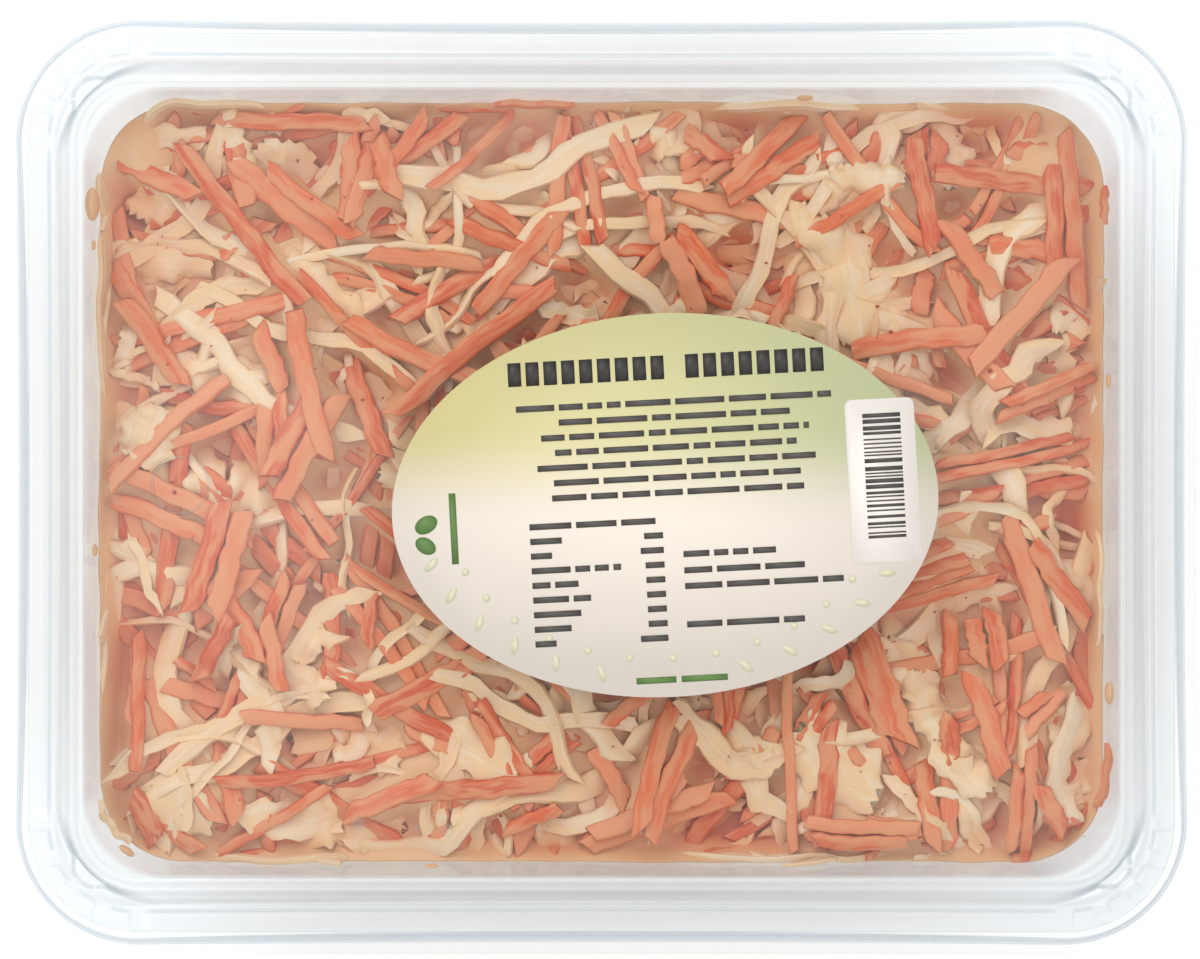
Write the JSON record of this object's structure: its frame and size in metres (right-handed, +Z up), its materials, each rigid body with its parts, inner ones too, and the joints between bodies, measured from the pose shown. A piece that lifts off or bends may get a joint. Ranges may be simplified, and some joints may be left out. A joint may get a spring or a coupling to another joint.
{
  "type": "lidded tray of coleslaw",
  "caption": "Clear thermoformed tray of carrot and cabbage coleslaw under a clear push-on lid with an oval paper label.",
  "frame": {"origin": "middle of the pack's footprint, on the surface that the tray stands on", "axes": "+X along the long side, to the right as the label is read; +Y across, towards the label's top; +Z up"},
  "size_m": [0.227, 0.18, 0.0574],
  "materials": {
    "tub_pet": "clear thermoformed PET",
    "lid_pet": "clear thermoformed PET",
    "label_paper": "satin coated label",
    "coleslaw": "wet, dressed vegetable shreds"
  },
  "bodies": {
    "root": {"tub": "tub_pet", "lid": "lid_pet", "label": "label_paper", "coleslaw": "coleslaw"}
  },
  "joints": []
}
